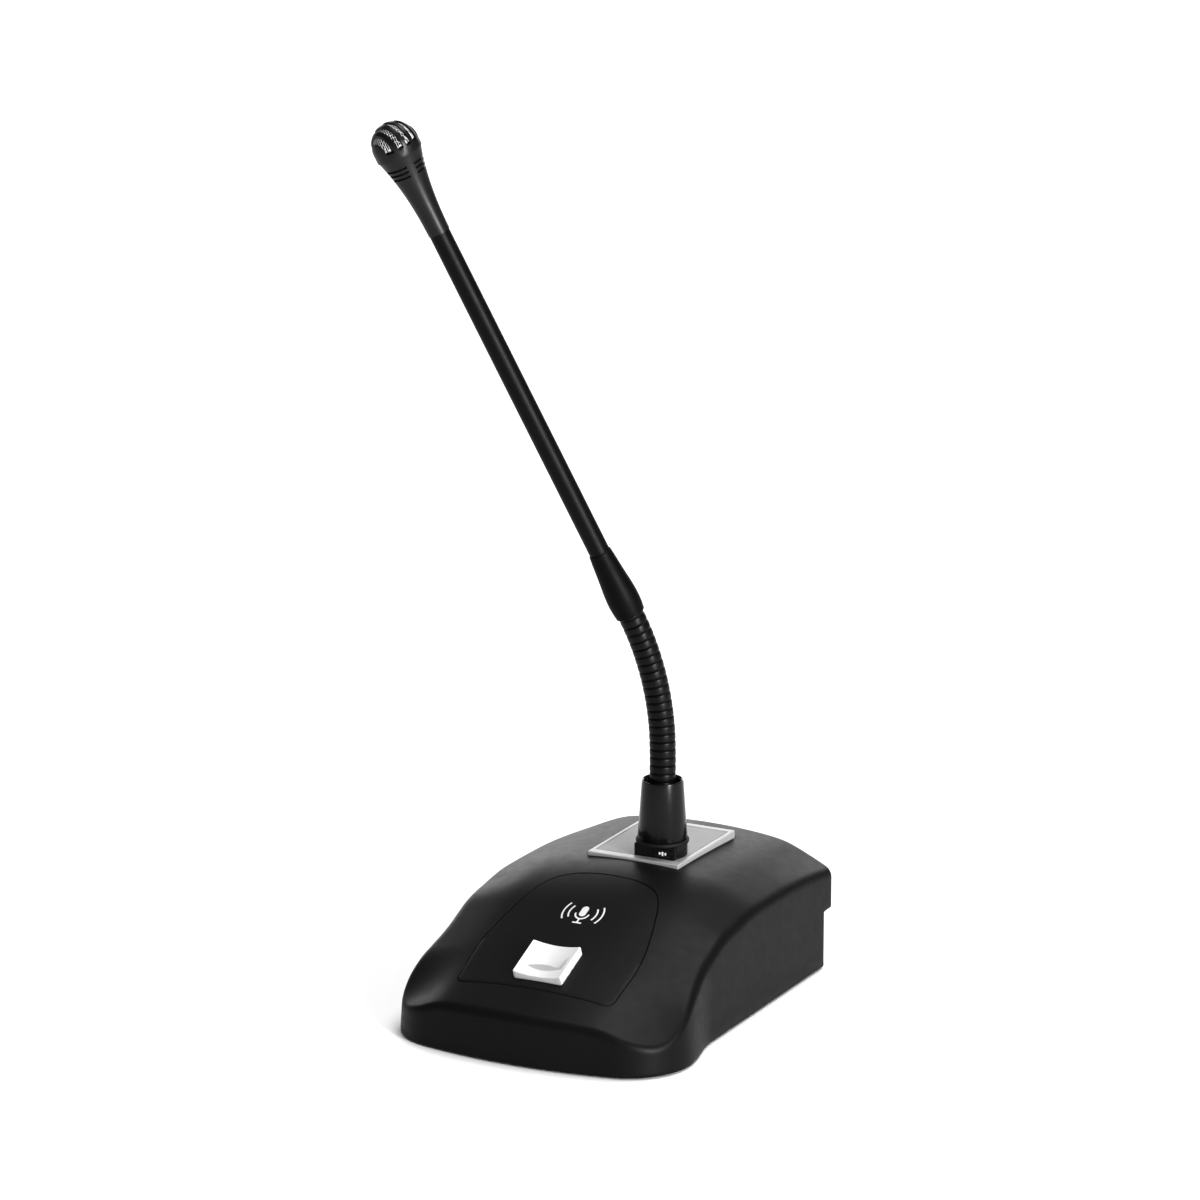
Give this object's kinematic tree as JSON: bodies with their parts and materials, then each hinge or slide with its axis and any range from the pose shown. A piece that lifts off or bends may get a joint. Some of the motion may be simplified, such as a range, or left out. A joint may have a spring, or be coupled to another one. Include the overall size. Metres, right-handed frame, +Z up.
{
  "type": "gooseneck desk microphone",
  "caption": "Desk microphone: wedge base with a talk button and a light top plate, and a slim condenser head on a bendable ribbed gooseneck in a locking three-pin socket.",
  "frame": {"origin": "on the desk, on the base's centre plane, under the middle of the light top plate", "axes": "+Z up, -Y towards the speaker (front lip and button), +X to the speaker's right"},
  "size_m": [0.1558, 0.1744, 0.3614],
  "materials": {
    "cover_plastic": "satin",
    "panel_plastic": "satin",
    "base_steel": "matte",
    "foot_rubber": "matte",
    "screw_steel": "satin",
    "ballast_iron": "matte",
    "pillar_brass": "satin",
    "board_laminate": "gloss",
    "component_black": "satin",
    "guide_plastic": "matte",
    "spring_steel": "satin",
    "button_plastic": "satin",
    "frame_plastic": "satin",
    "plate_plastic": "satin",
    "socket_plastic": "satin",
    "latch_plastic": "gloss",
    "insulator": "satin",
    "contact_metal": "gloss",
    "nut_metal": "satin",
    "shell_enamel": "gloss",
    "ring_rubber": "matte",
    "neck_enamel": "satin",
    "sleeve_rubber": "satin",
    "tube_enamel": "satin",
    "head_enamel": "satin",
    "mesh_metal": "satin",
    "foam": "matte",
    "capsule_metal": "satin",
    "output_metal": "satin",
    "lead_jacket": "matte"
  },
  "bodies": {
    "base": {"top_cover": "cover_plastic", "control_panel": "panel_plastic", "bottom_plate": "base_steel", "rubber_feet": "foot_rubber", "cover_screws": "screw_steel", "ballast_weight": "ballast_iron", "ballast_screws": "screw_steel", "standoffs": "pillar_brass", "standoff_screws": "screw_steel", "main_circuit_board": "board_laminate", "board_screws": "screw_steel", "board_components": "component_black", "button_guide": "guide_plastic", "return_spring": "spring_steel", "switch_board": "board_laminate", "switch_board_screws": "screw_steel", "push_switch": "component_black", "plate_frame": "frame_plastic", "top_plate": "plate_plastic", "socket_housing": "socket_plastic", "socket_insert": "insulator", "socket_contacts": "contact_metal", "socket_nut": "nut_metal", "plug_ring": "ring_rubber", "plug_shell": "shell_enamel", "plug_nose": "nut_metal", "plug_insert": "insulator", "plug_pins": "contact_metal", "neck_bushing": "insulator", "gooseneck_root": "neck_enamel", "rear_panel": "cover_plastic", "output_shell": "output_metal", "output_insert": "insulator", "output_pins": "contact_metal", "output_screws": "screw_steel", "internal_wiring": "lead_jacket"},
    "button": {"talk_button": "button_plastic", "button_stem": "guide_plastic"},
    "latch": {"latch_tab": "latch_plastic"},
    "link_1": {"gooseneck_link_01": "neck_enamel"},
    "link_2": {"gooseneck_link_02": "neck_enamel"},
    "link_3": {"gooseneck_link_03": "neck_enamel"},
    "link_4": {"gooseneck_link_04": "neck_enamel"},
    "link_5": {"gooseneck_link_05": "neck_enamel"},
    "link_6": {"gooseneck_link_06": "neck_enamel"},
    "link_7": {"gooseneck_link_07": "neck_enamel"},
    "microphone": {"gooseneck_top": "neck_enamel", "joint_sleeve": "sleeve_rubber", "stem_tube": "tube_enamel", "capsule_housing": "head_enamel", "vent_cloth": "foam", "grille_cap": "head_enamel", "grille_mesh": "mesh_metal", "foam_disc": "foam", "capsule": "capsule_metal", "capsule_mount": "ring_rubber", "capsule_board": "board_laminate", "stem_cable": "lead_jacket"}
  },
  "joints": [
    {"name": "neck_1_lean", "type": "hinge", "parent": "base", "child": "link_1", "pos_m": [0.0076, -0.0148, 0.089], "axis": [0.5299, -0.848, 0], "range_deg": [-20, 13]},
    {"name": "neck_2_side", "type": "hinge", "parent": "link_1", "child": "link_2", "pos_m": [0.0076, -0.0148, 0.09915], "axis": [0.848, 0.5299, 0], "range_deg": [-18, 18]},
    {"name": "neck_3_lean", "type": "hinge", "parent": "link_2", "child": "link_3", "pos_m": [0.00728, -0.015, 0.1093], "axis": [0.5299, -0.848, 0], "range_deg": [-20, 13]},
    {"name": "neck_4_side", "type": "hinge", "parent": "link_3", "child": "link_4", "pos_m": [0.00632, -0.0156, 0.11939], "axis": [0.8386, 0.524, 0.1485], "range_deg": [-18, 18]},
    {"name": "neck_5_lean", "type": "hinge", "parent": "link_4", "child": "link_5", "pos_m": [0.00473, -0.0166, 0.12936], "axis": [0.5299, -0.848, 0], "range_deg": [-20, 13]},
    {"name": "neck_6_side", "type": "hinge", "parent": "link_5", "child": "link_6", "pos_m": [0.0025, -0.01798, 0.13917], "axis": [0.8106, 0.5065, 0.294], "range_deg": [-18, 18]},
    {"name": "neck_7_lean", "type": "hinge", "parent": "link_6", "child": "link_7", "pos_m": [-0.00033, -0.01976, 0.14875], "axis": [0.5299, -0.848, 0], "range_deg": [-20, 13]},
    {"name": "neck_8_side", "type": "hinge", "parent": "link_7", "child": "microphone", "pos_m": [-0.00377, -0.0219, 0.15806], "axis": [0.7645, 0.4777, 0.4329], "range_deg": [-18, 18]},
    {"name": "talk_press", "type": "slide", "parent": "base", "child": "button", "axis": [0, 0.3872, -0.922], "range_m": [0, 0.0012], "stiffness_N_per_m": 900, "springref_m": -0.001, "deforming": ["return_spring"]},
    {"name": "latch_press", "type": "slide", "parent": "base", "child": "latch", "axis": [0, 1, 0], "range_m": [0, 0.0008], "stiffness_N_per_m": 700, "springref_m": -0.001}
  ],
  "couplings": [
    {"joint": "neck_3_lean", "follows": "neck_1_lean", "ratio": 1},
    {"joint": "neck_5_lean", "follows": "neck_1_lean", "ratio": 1},
    {"joint": "neck_7_lean", "follows": "neck_1_lean", "ratio": 1},
    {"joint": "neck_4_side", "follows": "neck_2_side", "ratio": 1},
    {"joint": "neck_6_side", "follows": "neck_2_side", "ratio": 1},
    {"joint": "neck_8_side", "follows": "neck_2_side", "ratio": 1}
  ]
}
